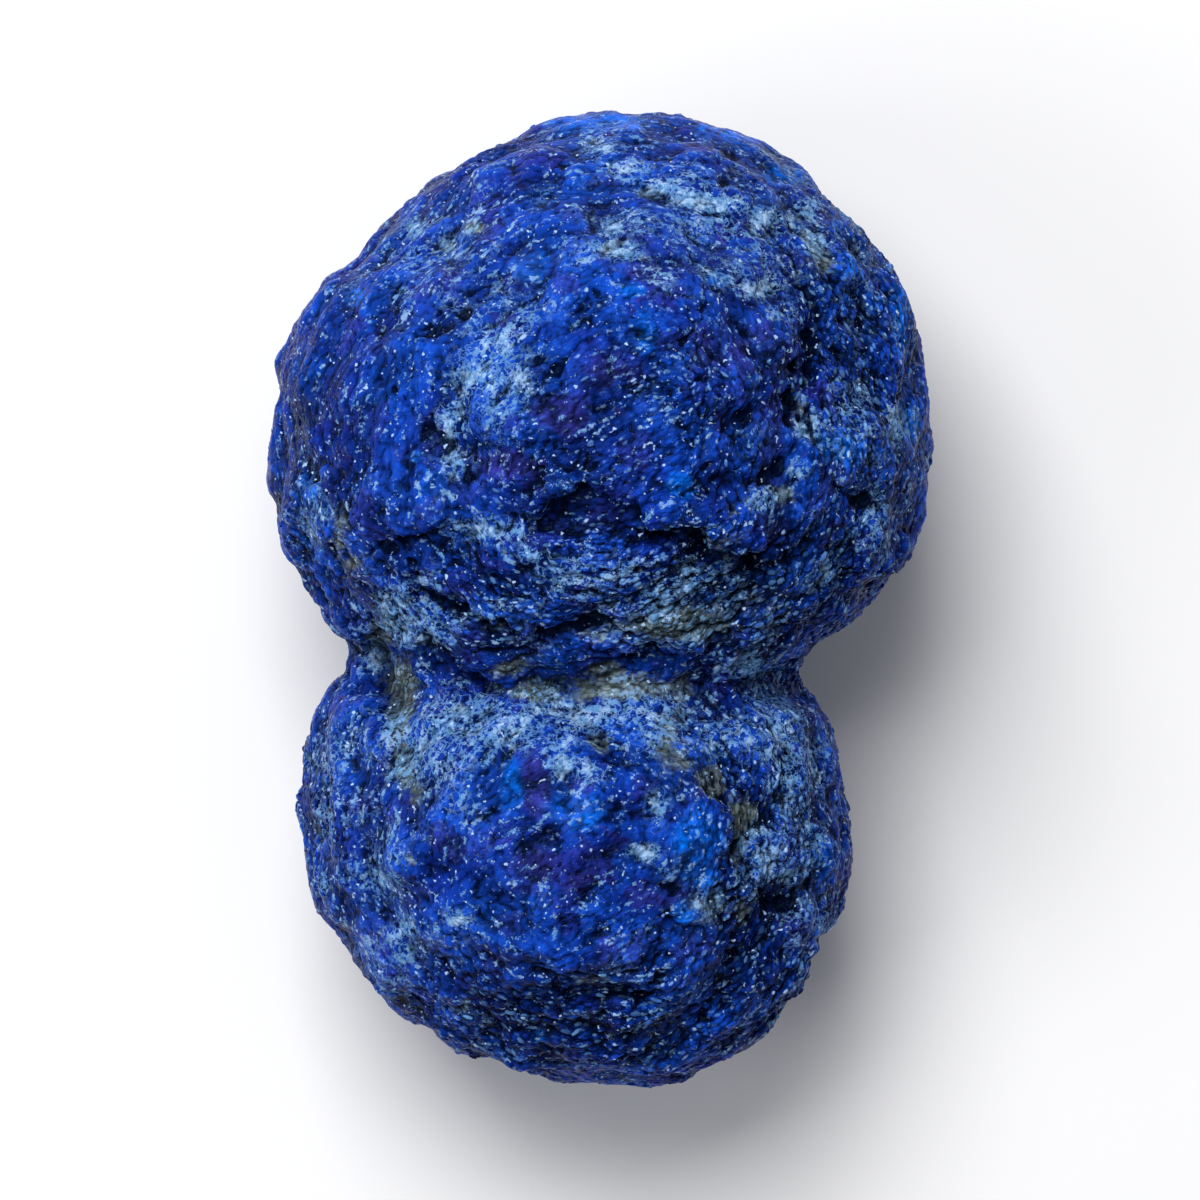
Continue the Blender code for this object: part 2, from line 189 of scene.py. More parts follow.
UPPER_COBALT = (
    (270, 350, 18, 14, 1.0), (487, 271, 17, 11, 1.0), (420, 233, 14, 8, 0.9), (357, 374, 12, 7, 0.9),
    (430, 361, 12, 8, 1.0), (122, 376, 11, 8, 0.9), (397, 536, 13, 14, 0.9), (532, 500, 22, 22, 0.8),
    (590, 484, 13, 18, 1.0), (368, 408, 12, 22, 0.7), (176, 511, 8, 5, 1.0), (84, 550, 18, 44, 0.6),
    (255, 789, 12, 22, 0.9), (312, 808, 26, 20, 0.8), (411, 840, 22, 34, 1.0), (402, 893, 13, 11, 0.9),
    (330, 226, 66, 12, 0.7), (545, 350, 14, 16, 0.6), (585, 400, 13, 44, 0.7), (466, 446, 12, 8, 0.4),
    (279, 1003, 6, 6, 0.9), (300, 990, 26, 12, 0.4), (520, 850, 18, 26, 0.5), (215, 690, 20, 8, 0.3),
    (470, 640, 20, 30, 0.3), (150, 450, 50, 30, 0.35), (200, 520, 34, 20, 0.35), (450, 238, 60, 12, 0.6),
    (545, 300, 22, 26, 0.55),
)
UPPER_VIOLET = (
    (294, 477, 26, 22, 0.9), (450, 420, 50, 30, 0.8), (361, 360, 14, 12, 0.7), (250, 518, 30, 14, 0.9),
    (276, 790, 14, 26, 1.0), (276, 856, 40, 34, 0.6), (317, 870, 20, 12, 0.8), (250, 400, 22, 18, 0.5),
    (400, 250, 50, 22, 0.45), (340, 440, 34, 30, 0.6), (330, 560, 30, 24, 0.6), (120, 350, 30, 20, 0.4),
    (390, 880, 24, 14, 0.8), (210, 360, 20, 14, 0.5), (450, 890, 30, 20, 0.4), (310, 725, 34, 14, 0.5),
)
# Painted shade: patches painted in the darkest blue where the stone lies in shade, on its lower sides, along
# its rims and below the belt.
UPPER_PAINTED_SHADE = (
    (440, 625, 70, 34, 0.8), (220, 672, 70, 16, 0.7), (310, 690, 80, 14, 0.6), (460, 665, 50, 24, 0.6),
    (500, 590, 36, 40, 0.6), (300, 1000, 130, 30, 0.6), (470, 950, 60, 40, 0.6), (80, 450, 20, 70, 0.5),
    (120, 620, 26, 30, 0.5), (350, 870, 60, 50, 0.4), (540, 560, 30, 60, 0.5), (120, 330, 40, 40, 0.3),
    (180, 850, 30, 30, 0.3), (590, 520, 16, 60, 0.5),
)
UNDER_DUST = (
    (855, 300, 40, 24, 0.8), (880, 400, 22, 50, 0.7), (1080, 380, 18, 60, 0.9), (860, 435, 40, 14, 0.6),
    (780, 620, 90, 18, 0.8), (960, 625, 110, 18, 0.9), (1060, 645, 40, 22, 0.9), (740, 700, 50, 26, 0.5),
    (1090, 830, 26, 70, 0.7), (760, 960, 60, 30, 0.5), (700, 780, 26, 60, 0.4), (900, 950, 60, 24, 0.4),
    (1130, 700, 20, 50, 0.5), (670, 420, 20, 60, 0.4), (820, 250, 60, 8, 0.6), (1020, 480, 30, 20, 0.4),
)
UNDER_EARTH = (
    (925, 840, 15, 13, 1.0), (1045, 618, 10, 12, 0.9), (895, 405, 12, 18, 0.7), (850, 745, 12, 12, 0.6),
    (905, 575, 14, 8, 0.7), (1010, 372, 30, 30, 0.4), (925, 910, 12, 10, 0.5), (890, 300, 30, 10, 0.4),
)
UNDER_COBALT = (
    (865, 685, 16, 12, 1.0), (905, 795, 12, 12, 0.9), (950, 330, 14, 16, 0.8), (720, 920, 40, 20, 0.5),
    (1150, 800, 14, 60, 0.6), (930, 270, 60, 10, 0.6), (760, 560, 40, 20, 0.4), (1000, 660, 40, 12, 0.6),
)
UNDER_VIOLET = (
    (800, 790, 80, 60, 0.7), (1020, 400, 50, 50, 0.6), (780, 330, 60, 20, 0.5), (1000, 760, 60, 40, 0.5),
    (880, 880, 60, 20, 0.4), (800, 480, 50, 40, 0.3),
)
UNDER_PAINTED_SHADE = (
    (900, 600, 200, 12, 0.5), (1000, 980, 120, 40, 0.5), (900, 1060, 80, 20, 0.6), (760, 870, 70, 60, 0.3),
    (660, 820, 16, 70, 0.5), (1130, 960, 30, 40, 0.5),
)
UPPER_COARSE = (
    (430, 620, 190, 62, 1.0), (545, 430, 62, 130, 0.95), (230, 640, 130, 40, 0.8), (350, 520, 130, 60, 0.45),
    (480, 860, 62, 120, 0.9), (330, 990, 190, 50, 0.85), (80, 560, 34, 100, 0.5), (90, 850, 34, 100, 0.5),
    (470, 690, 60, 26, 0.9), (500, 960, 60, 60, 0.9), (430, 450, 110, 60, 0.5),
)
UNDER_COARSE = (
    (900, 560, 230, 60, 0.9), (690, 400, 50, 150, 0.6), (1110, 450, 50, 140, 0.8), (1110, 820, 60, 140, 0.9),
    (900, 1020, 200, 60, 0.8), (700, 800, 50, 130, 0.6),
)
PATCHES = {
    "coarse": (UPPER_COARSE, UNDER_COARSE),
    "dust": (UPPER_DUST, UNDER_DUST),
    "earth": (UPPER_EARTH, UNDER_EARTH),
    "cobalt": (UPPER_COBALT, UNDER_COBALT),
    "violet": (UPPER_VIOLET, UNDER_VIOLET),
    "painted_shade_patch": (UPPER_PAINTED_SHADE, UNDER_PAINTED_SHADE),
}

# Seeds of each pattern's random numbers, and how far a pattern is drawn out along the flow, in millimetres.
SEEDS = {
    "flow": 31, "bend": 41, "knobs": 51, "wrinkles": 61, "long_folds": 71, "short_folds": 72, "uneven": 75,
    "crinkles": 81, "cover": 91, "grain_scale": 95, "streak": 101,
}
LENGTHS = {
    "knobs": 1.0, "wrinkles": 2.6, "long_folds": 0.8, "short_folds": 0.15, "crinkles": 0.3, "streak": 0.5,
}


def length_property(name, description, millimetres):
    return bpy.props.FloatProperty(
        name=name, description=description, default=millimetres * MM, unit="LENGTH", precision=6)


def angle_property(name, description, degrees):
    return bpy.props.FloatProperty(
        name=name, description=description, default=math.radians(degrees), subtype="ANGLE")


def colour_property(name, description, default):
    return bpy.props.FloatVectorProperty(
        name=name, description=description, default=default, size=3, min=0.0, max=1.0, subtype="COLOR")


class SkinSettings(bpy.types.PropertyGroup):
    """Sizes of the skin and of the relief on it."""

    step: length_property("Mesh Step", "Width of the skin's faces before they are halved", 0.214)
    smoothing: bpy.props.IntProperty(
        name="Smoothing", description="Passes that melt the solid's facets away", default=22, min=0)
    knob_size: length_property("Knob Size", "Width of the low knobs all over the skin", 1.45)
    knob_height: length_property("Knob Height", "Height of the knobs", 0.34)
    wrinkle_size: length_property("Wrinkle Width", "Width of the long wrinkles", 0.85)
    wrinkle_height: length_property("Wrinkle Height", "Height of the long wrinkles", 0.30)
    fold_size: length_property("Fold Width", "Width of the small folds that cover everything", 0.40)
    fold_height: length_property("Fold Height", "Height of the small folds", 0.25)
    crinkle_size: length_property("Crinkle Width", "Width of the finest folds", 0.25)
    crinkle_height: length_property("Crinkle Height", "Height of the finest folds", 0.09)
    crack_scale: bpy.props.FloatProperty(
        name="Crack Depth", description="Scales the depth of every crack and pit",
        default=1.0, subtype="FACTOR")


class DruseSettings(bpy.types.PropertyGroup):
    """Sizes of the grains of the druse."""

    spacing: length_property("Spacing", "Least distance between two grains", 0.265)
    length: length_property("Grain Length", "Length of a grain along the flow", 0.42)
    width: length_property("Grain Width", "Width of a grain", 0.22)
    height: length_property("Grain Height", "Height of a grain over its middle", 0.085)
    tilt: angle_property("Tilt", "Most that a grain leans", 9)
    turn: angle_property("Turn", "Most that a grain turns from the flow", 26)
    seed: bpy.props.IntProperty(name="Seed", description="Picks another scatter of grains", default=7)


class ColourSettings(bpy.types.PropertyGroup):
    """Colours of the stone."""

    # This darkest blue is both the tone of the darkest grains and the painted shade in hollows, cracks, pits
    # and shaded patches.
    navy_and_shade: colour_property("Navy", "Darkest blue, in hollows", (0.0005, 0.002, 0.013))
    ultramarine: colour_property("Ultramarine", "The stone's main blue", (0.003, 0.019, 0.20))
    royal: colour_property("Royal Blue", "Lighter blue of the open faces", (0.004, 0.044, 0.34))
    cobalt: colour_property("Cobalt", "Bright smooth patches", (0.001, 0.12, 0.66))
    violet: colour_property("Violet", "Purple tint", (0.023, 0.022, 0.19))
    # Dust and chalk are powder colours, and also paint the highlights on the crests and on the tops of pale
    # grains.
    dust: colour_property("Dust", "Pale blue powder between the grains", (0.125, 0.30, 0.58))
    chalk: colour_property("Chalk", "Palest powder", (0.42, 0.60, 0.86))
    earth: colour_property("Earth", "Olive clay left in furrows", (0.155, 0.205, 0.165))
    # A painted highlight: the colour of the glints painted where crystal faces mirror the light.
    painted_glint: colour_property("Glint", "Tiny bright crystal faces", (0.42, 0.61, 0.92))


class StageSettings(bpy.types.PropertyGroup):
    """Floor, lights and camera."""

    floor_size: bpy.props.FloatProperty(
        name="Floor Size", description="Width of the floor", default=3.0, unit="LENGTH")
    floor_colour: colour_property("Floor Colour", "Plain pale floor", (0.86, 0.86, 0.87))
    sky_strength: bpy.props.FloatProperty(
        name="Sky Strength", description="Even light from all round", default=0.26)
    key_power: bpy.props.FloatProperty(
        name="Key Power", description="Soft lamp beyond the large ball", default=3.2, unit="POWER")
    fill_power: bpy.props.FloatProperty(
        name="Fill Power", description="Soft lamp on the left", default=0.5, unit="POWER")
    lens: bpy.props.FloatProperty(name="Lens", description="Focal length in millimetres", default=400.0)
    fill: bpy.props.FloatProperty(
        name="Frame Fill", description="Share of the picture that the stone's length takes",
        default=0.82, subtype="FACTOR")


def select_only(obj):
    """Leaves just this object selected and active."""
    if bpy.context.object and bpy.context.object.mode != "OBJECT":
        bpy.ops.object.mode_set(mode="OBJECT")
    bpy.ops.object.select_all(action="DESELECT")
    obj.select_set(True)
    bpy.context.view_layer.objects.active = obj


def apply_modifiers(obj):
    select_only(obj)
    for modifier in list(obj.modifiers):
        bpy.ops.object.modifier_apply(modifier=modifier.name)


def join_to_stone(piece):
    """Makes the piece part of the stone's one body, in place of its plain solid."""
    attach(piece, BODY)
    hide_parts(NODE)


def read_points(mesh):
    """The mesh's points in millimetres, and its normals."""
    places = np.empty(len(mesh.vertices) * 3)
    normals = np.empty(len(mesh.vertices) * 3)
    mesh.vertices.foreach_get("co", places)
    mesh.vertex_normals.foreach_get("vector", normals)
    return places.reshape(-1, 3) / MM, normals.reshape(-1, 3)


def write_points(mesh, places):
    mesh.vertices.foreach_set("co", (places * MM).ravel())
    mesh.update()


def write_value(mesh, name, values):
    """Stores one number for each point, for materials and scattering to read."""
    attribute = mesh.attributes.new(name, "FLOAT", "POINT")
    attribute.data.foreach_set("value", values.astype(np.float32))


def write_direction(mesh, name, vectors):
    attribute = mesh.attributes.new(name, "FLOAT_VECTOR", "POINT")
    attribute.data.foreach_set("vector", vectors.astype(np.float32).ravel())


def smooth_step(values, low, high):
    share = np.clip((values - low) / (high - low), 0.0, 1.0)
    return share * share * (3.0 - 2.0 * share)


def seen_place(view, pixels):
    """Where pixels of a view lie on the stone seen from above, in millimetres."""
    offset = (np.array(pixels, float) - view["middle"]) * view["mm_per_pixel"]
    return offset * (1.0, view["up"])


def lattice_values(cells, seed, count):
    """Random numbers from 0 to 1 for each cell of a lattice, the same on every run."""
    keys = cells.astype(np.int64).astype(np.uint32)
    mixed = keys[:, 0] * np.uint32(73856093) ^ keys[:, 1] * np.uint32(19349663)
    mixed ^= keys[:, 2] * np.uint32(83492791)
    mixed += np.uint32(seed)
    values = []
    for _ in range(count):
        mixed = mixed * np.uint32(1664525) + np.uint32(1013904223)
        mixed ^= mixed >> np.uint32(15)
        mixed *= np.uint32(739982445)
        mixed ^= mixed >> np.uint32(12)
        values.append(mixed / np.float64(2 ** 32))
    return np.column_stack(values)


NOISE_SPREAD = 0.27


def noise_at(places, size, seed=0):
    """Smooth noise around 0, whose spread is about 1."""
    scaled = places / size
    corner_cell = np.floor(scaled)
    inside = scaled - corner_cell
    ease = inside ** 3 * (inside * (inside * 6 - 15) + 10)
    total = np.zeros(len(places))
    for corner in itertools.product((0, 1), repeat=3):
        slopes = lattice_values(corner_cell + corner, seed, 3) * 2 - 1
        weight = np.prod(np.where(corner, ease, 1 - ease), axis=1)
        total += weight * np.einsum("ij,ij->i", slopes, inside - corner)
    return total / NOISE_SPREAD


def noise_vectors(places, size, seed):
    return np.column_stack([noise_at(places, size, seed + axis) for axis in range(3)])


STREAK_STEPS = 5


def streaks_at(places, flow, size, length, seed):
    """Noise drawn out along the flow: the mean of noise at places in a row along it."""
    total = np.zeros(len(places))
    for offset in np.linspace(-length / 2, length / 2, STREAK_STEPS):
        total += noise_at(places + flow * offset, size, seed)
    return total / total.std()


def rounded_tops(values, sharpness=1.5):
    """Turns noise into rounded bumps with narrow creases between them, from 0 in a crease to 1 on a top."""
    return np.tanh(sharpness * np.sqrt(values ** 2 + 0.004))


def distance_to_path(seen, path):
    """For points seen from above: distance to the path, side of it, share along it and its direction."""
    nearest = np.full(len(seen), np.inf)
    side = np.zeros(len(seen))
    along = np.zeros(len(seen))
    heading = np.zeros((len(seen), 2))
    lengths = np.linalg.norm(np.diff(path, axis=0), axis=1)
    run = 0.0
    for start, end, length in zip(path[:-1], path[1:], lengths, strict=True):
        step = (end - start) / length
        offset = seen - start
        share = np.clip(offset @ step, 0.0, length)
        gap = offset - share[:, None] * step
        distance = np.linalg.norm(gap, axis=1)
        closer = distance < nearest
        nearest = np.where(closer, distance, nearest)
        side = np.where(closer, gap[:, 1], side)
        along = np.where(closer, (run + share) / lengths.sum(), along)
        heading = np.where(closer[:, None], step, heading)
        run += length
    return nearest, side, along, heading


# How a crack fades to its ends, reaches to each side, and how far its painted shade reaches. The last three
# are in widths of the crack.
END_FADE = 0.12
LEAST_FADE = 0.15
LIP_REACH = 1.3
LIP_SOFTNESS = 0.15
DRAWN_REACH = 2.5
SHADE_ABOVE = 0.6
SHADE_BELOW_LIP = 1.2
LEAST_SHADE = 0.35
# A pit's depth and the height of its rim are shares of its full depth, and its reaches are in radii. The last
# two set the painted shade in a pit.
PIT_DEPTH = 0.5
PIT_RIM_HEIGHT = 0.25
PIT_RIM_RADIUS = 1.7
PIT_SHADE = 0.8
PIT_SHADE_RADIUS = 0.7


def bell(distance, width):
    """A bell curve: 1 at no distance, and almost 0 at twice the width."""
    return np.exp(-((distance / width) ** 2))


def carve_marks(seen, view, overhangs, cracks, pits):
    """Relief of the traced marks in millimetres, the painted shade along them, and the way that they draw the
    grains.
    """
    relief = np.zeros(len(seen))
    painted_shade = np.zeros(len(seen))
    drawn = np.zeros((len(seen), 2))
    marks = [*overhangs, *((*crack, 0.0) for crack in cracks)]
    for points, width, depth, rise in marks:
        distance, side, along, heading = distance_to_path(seen, seen_place(view, points))
        fade = np.clip(np.minimum(along, 1.0 - along) / END_FADE, 0.0, 1.0) ** 0.5
        fade = np.maximum(fade, LEAST_FADE)
        above = 0.5 + 0.5 * np.tanh(side / LIP_SOFTNESS)
        relief -= fade * depth * bell(distance, width)
        relief += fade * rise * above * bell(distance, LIP_REACH)
        drawn += heading * bell(distance, DRAWN_REACH * width)[:, None]
        # Painted shade along the crack, reaching further below a lip than above it.
        reach = width * np.where(side < 0.0, 1.0 + SHADE_BELOW_LIP * rise, SHADE_ABOVE)
        painted_shade = np.maximum(painted_shade, fade * min(1.0, LEAST_SHADE + depth) * bell(distance, reach))
    for x, y, half_width, full_depth in pits:
        depth = full_depth * PIT_DEPTH
        distance = np.linalg.norm(seen - seen_place(view, (x, y)), axis=1)
        radius = half_width * view["mm_per_pixel"]
        relief -= depth * bell(distance, radius)
        relief += PIT_RIM_HEIGHT * depth * bell(distance - PIT_RIM_RADIUS * radius, radius)
        # Painted shade in the pit.
        painted_shade = np.maximum(painted_shade, PIT_SHADE * full_depth * bell(distance, PIT_SHADE_RADIUS * radius))
    return relief, painted_shade, drawn


PATCH_FALL = 0.8


def patch_values(seen, view, patches):
    """How strongly a set of patches colours each point, from 0 to 1."""
    values = np.zeros(len(seen))
    for x, y, half_width, half_height, strength in patches:
        offset = (seen - seen_place(view, (x, y))) / view["mm_per_pixel"]
        distance = np.hypot(offset[:, 0] / half_width, offset[:, 1] / half_height)
        values = np.maximum(values, strength * np.exp(-(distance ** 2) * PATCH_FALL))
    return values


def belt_share(places):
    """How far each point is into the wrinkled belt above the waist."""
    share = np.exp(-(((places[:, 1] - BELT_MIDDLE) / BELT_HALF_WIDTH) ** 4))
    return share * smooth_step(places[:, 1], WAIST_Y - 0.6, WAIST_Y + 0.4)


# Distances from a ball's middle where the flow starts and ends its turn from one way to round the ball.
FLOW_TURN = (1.5, 6.0)
FLOW_WANDER = 0.28
FLOW_WANDER_SIZE = 2.6
FLOW_PULL_OF_MARKS = 1.5


def same_way(vectors, others):
    """1 where two sets of vectors point the same way, and -1 where they are opposed."""
    return np.where(np.sum(vectors * others, axis=1) < 0.0, -1.0, 1.0)[:, None]


def flow_direction(places, normals, drawn):
    """The way that folds and grains run: round each ball, along the cracks, and a little at random."""
    on_large = places[:, 1] > WAIST_Y
    outward = places - np.where(on_large[:, None], LARGE_CENTRE, SMALL_CENTRE)
    outward[:, 2] = 0.0
    reach = np.linalg.norm(outward, axis=1)
    round_ball = np.cross((0.0, 0.0, 1.0), outward) / np.maximum(reach, 1.0)[:, None]
    share = smooth_step(reach, *FLOW_TURN)[:, None]
    flow = share * round_ball * same_way(round_ball, MIDDLE_FLOW) + (1.0 - share) * MIDDLE_FLOW
    flow += FLOW_WANDER * noise_vectors(places, FLOW_WANDER_SIZE, SEEDS["flow"])
    along_marks = np.column_stack((drawn, np.zeros(len(places))))
    flow += FLOW_PULL_OF_MARKS * same_way(along_marks, flow) * along_marks
    flow -= np.einsum("ij,ij->i", flow, normals)[:, None] * normals
    return flow / np.maximum(np.linalg.norm(flow, axis=1), 1e-9)[:, None]


BEND = 0.10
BEND_SIZE = 1.1
UNEVEN_SIZE = 2.1
CALM_ON_COBALT = 0.75
MIDDLE_TOP = 0.6
# Share of each layer's height that stays where the stone is finest.
LEAST_SHARES = {"knobs": 0.75, "wrinkles": 0.12, "folds": 0.28, "crinkles": 0.45}


def fine_relief(places, flow, coarse, cobalt, settings):
    """Height of knobs, wrinkles, folds and crinkles in millimetres, how near a fold's top, and the knobs."""
    bent = places + BEND * noise_vectors(places, BEND_SIZE, SEEDS["bend"])

    def streaks(name, size, at=bent):
        return streaks_at(at, flow, size / MM, LENGTHS[name], SEEDS[name])

    def share_of(name, amount):
        least = LEAST_SHARES[name]
        return least + (1.0 - least) * amount

    knobs = smooth_step(streaks("knobs", settings.knob_size), -1.1, 1.1)
    wrinkles = rounded_tops(streaks("wrinkles", settings.wrinkle_size), 1.2)
    long_folds = streaks("long_folds", settings.fold_size)
    short_folds = streaks("short_folds", settings.fold_size)
    folds = rounded_tops(long_folds * coarse + short_folds * (1.0 - coarse))
    crinkles = rounded_tops(streaks("crinkles", settings.crinkle_size, places))
    uneven = np.clip(1.0 + 0.45 * noise_at(places, UNEVEN_SIZE, SEEDS["uneven"]), 0.35, 1.8)
    uneven = uneven * (1.0 - CALM_ON_COBALT * cobalt)
    long_share = np.clip(belt_share(places) + 0.5 * coarse, 0.0, 1.0)
    layers = (
        (knobs, settings.knob_height, share_of("knobs", coarse)),
        (wrinkles, settings.wrinkle_height, share_of("wrinkles", long_share) * uneven),
        (folds, settings.fold_height, share_of("folds", coarse) * uneven),
        (crinkles, settings.crinkle_height, share_of("crinkles", coarse)),
    )
    relief = sum((tops - MIDDLE_TOP) * height / MM * share for tops, height, share in layers)
    crest = np.clip(0.5 * folds + 0.25 * crinkles + 0.25 * wrinkles, 0.0, 1.0)
    return relief, crest, knobs


def neighbours_mean(mesh, places, passes):
    """The points after this many passes of moving each to the mean of its neighbours."""
    edges = np.empty(len(mesh.edges) * 2, int)
    mesh.edges.foreach_get("vertices", edges)
    first, second = edges.reshape(-1, 2).T
    ends = np.concatenate((first, second))
    others = np.concatenate((second, first))
    counts = np.bincount(ends, minlength=len(places))
    for _ in range(passes):
        places = np.column_stack([
            np.bincount(ends, weights=places[others, axis], minlength=len(places)) / counts
            for axis in range(3)
        ])
    return places


def even_skin(settings):
    """A copy of the solid as one even skin of small faces, its facets melted away."""
    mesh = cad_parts[NODE].data.copy()
    mesh.materials.clear()
    skin = bpy.data.objects.new("skin", mesh)
    bpy.context.scene.collection.objects.link(skin)
    select_only(skin)
    bpy.ops.object.mode_set(mode="EDIT")
    bpy.ops.mesh.select_all(action="SELECT")
    bpy.ops.mesh.remove_doubles(threshold=0.001 * MM)
    bpy.ops.object.mode_set(mode="OBJECT")
    even = skin.modifiers.new("even_faces", "REMESH")
    even.mode = "VOXEL"
    even.voxel_size = settings.step
    melt = skin.modifiers.new("melted_facets", "SMOOTH")
    melt.factor = 0.5
    melt.iterations = settings.smoothing
    halve = skin.modifiers.new("halved_faces", "SUBSURF")
    halve.levels = 1
    halve.render_levels = 1
    apply_modifiers(skin)
    return skin


STREAK_WIDTH = 0.24
# How sunk each point is sets the painted shade in hollows, and less of it is painted at the waist.
HOLLOW_PASSES = 24
HOLLOW_RANGE = 0.30
HOLLOW_LOSS_AT_WAIST = 0.45
CALM_ON_SIDES = 0.40
STEEP_FROM = 0.55
# Where the marks of the under view give way to those of the upper view, by how far the skin faces up.
VIEW_CHANGE = (-0.25, 0.15)


def raise_skin_relief(skin, settings):
    """Moves the skin's points to form the marks and the fine relief, and stores what colours them."""
    mesh = skin.data
    places, normals = read_points(mesh)
    upper = smooth_step(normals[:, 2], *VIEW_CHANGE)
    seen = places[:, :2]
    relief = np.zeros(len(places))
    painted_shade = np.zeros(len(places))
    drawn = np.zeros((len(places), 2))
    sides = ((upper, UPPER_VIEW, UPPER_OVERHANGS, UPPER_CRACKS, UPPER_PITS),
             (1.0 - upper, UNDER_VIEW, UNDER_OVERHANGS, UNDER_CRACKS, UNDER_PITS))
    for share, view, overhangs, cracks, pits in sides:
        side_relief, side_painted_shade, side_drawn = carve_marks(seen, view, overhangs, cracks, pits)
        relief += share * side_relief
        painted_shade += share * side_painted_shade
        drawn += share[:, None] * side_drawn
    values = {
        name: upper * patch_values(seen, UPPER_VIEW, on_upper)
        + (1.0 - upper) * patch_values(seen, UNDER_VIEW, on_under)
        for name, (on_upper, on_under) in PATCHES.items()
    }
    # The painted shade of the traced marks, for the material.
    values["painted_shade"] = painted_shade
    flow = flow_direction(places, normals, drawn)
    write_points(mesh, places + normals * (relief * settings.crack_scale)[:, None])
    marked, marked_normals = read_points(mesh)
    relief, values["crest"], values["knob"] = fine_relief(
        places, flow, values["coarse"], values["cobalt"], settings)
    calm_sides = 1.0 - CALM_ON_SIDES * smooth_step(np.abs(normals[:, 2]), STEEP_FROM, 0.0)
    final = marked + marked_normals * (relief * calm_sides)[:, None]
    final[:, 2] = np.maximum(final[:, 2], 0.0)
    write_points(mesh, final)
    final, normals = read_points(mesh)
    # How sunk each point is, which the material paints as shade in hollows.
    sunk = np.einsum("ij,ij->i", neighbours_mean(mesh, final, HOLLOW_PASSES) - final, normals)
    off_waist = 1.0 - HOLLOW_LOSS_AT_WAIST * bell(places[:, 1] - WAIST_Y, WAIST_HALF_WIDTH)
    values["hollow"] = np.clip(0.5 + sunk / HOLLOW_RANGE, 0.0, 1.0) * off_waist
    values["streak"] = streaks_at(places, flow, STREAK_WIDTH, LENGTHS["streak"], SEEDS["streak"])
    values["cover"] = druse_cover(final, values) * calm_sides
    values["grain_scale"] = grain_scale(final, values) * calm_sides ** 0.5
    for name, numbers in values.items():
        write_value(mesh, name, numbers)
    write_direction(mesh, "flow", flow)


LEAST_COVER = 0.10
BARE_HEIGHTS = (0.20, 0.50)


def druse_cover(places, values):
    """How thickly grains grow: most on coarse parts, few elsewhere, none on smooth patches and the flats."""
    patchy = values["coarse"] + 0.12 * noise_at(places, 1.6, SEEDS["cover"])
    cover = LEAST_COVER + (1.0 - LEAST_COVER) * smooth_step(patchy, 0.25, 0.75)
    return cover * (1.0 - 0.9 * values["cobalt"]) * smooth_step(places[:, 2], *BARE_HEIGHTS)


def grain_scale(places, values):
    """Size of the grains: large on coarse parts, small on the finer ones."""
    return 0.62 + 0.42 * values["coarse"] + 0.10 * noise_at(places, 1.8, SEEDS["grain_scale"])


SECTORS = {
    "large_end_upper": (1, 1),
    "large_end_under": (1, -1),
    "small_end_upper": (-1, 1),
    "small_end_under": (-1, -1),
}
LENGTH_CUT = 1.0
LEVEL_CUT = 10.0


def cut_sector(name, skin, sides):
    """A copy of the skin cut down to one quarter, and closed where it is cut."""
    piece = bpy.data.objects.new(name, skin.data.copy())
    bpy.context.scene.collection.objects.link(piece)
    select_only(piece)
    bpy.ops.object.shade_smooth()
    bpy.ops.object.mode_set(mode="EDIT")
    planes = (((0.0, LENGTH_CUT * MM, 0.0), (0.0, -sides[0], 0.0)),
              ((0.0, 0.0, LEVEL_CUT * MM), (0.0, 0.0, -sides[1])))
    for place, away in planes:
        bpy.ops.mesh.select_all(action="SELECT")
        bpy.ops.mesh.bisect(plane_co=place, plane_no=away, use_fill=True, clear_outer=True)
        bpy.ops.mesh.faces_shade_flat()
    bpy.ops.object.mode_set(mode="OBJECT")
    return piece


def add_grain(settings):
    """One grain of the druse, like a grain of rice."""
    bpy.ops.object.select_all(action="DESELECT")
    bpy.ops.mesh.primitive_uv_sphere_add(segments=6, ring_count=3, radius=0.5)
    grain = bpy.context.object
    grain.name = "grain"
    grain.scale = (settings.length, settings.width, settings.height * 2)
    bpy.ops.object.transform_apply(location=False, rotation=False, scale=True)
    bpy.ops.object.shade_smooth()
    return grain


def named_field(tree, name, kind):
    node = tree.nodes.new("GeometryNodeInputNamedAttribute")
    node.data_type = kind
    node.inputs["Name"].default_value = name
    return node.outputs["Attribute"]


def random_field(tree, kind, low, high, seed):
    node = tree.nodes.new("FunctionNodeRandomValue")
    node.data_type = kind
    sockets = [s for s in node.inputs if s.enabled and s.name in ("Min", "Max")]
    sockets[0].default_value = low
    sockets[1].default_value = high
    node.inputs["Seed"].default_value = seed
    return next(s for s in node.outputs if s.enabled)


def math_node(tree, operation, first, second, kind="ShaderNodeMath"):
    node = tree.nodes.new(kind)
    node.operation = operation
    for socket, value in zip(node.inputs, (first, second)):
        if isinstance(value, bpy.types.NodeSocket):
            tree.links.new(value, socket)
        else:
            socket.default_value = value
    return node.outputs[0]


GRAINS_TRIED = 1.5
LEAST_GRAIN = (0.55, 0.65, 0.6)
MOST_GRAIN = (1.35, 1.2, 1.25)
TONE_SEED = 11
LEAN_SEED = 12
SIZE_SEED = 13


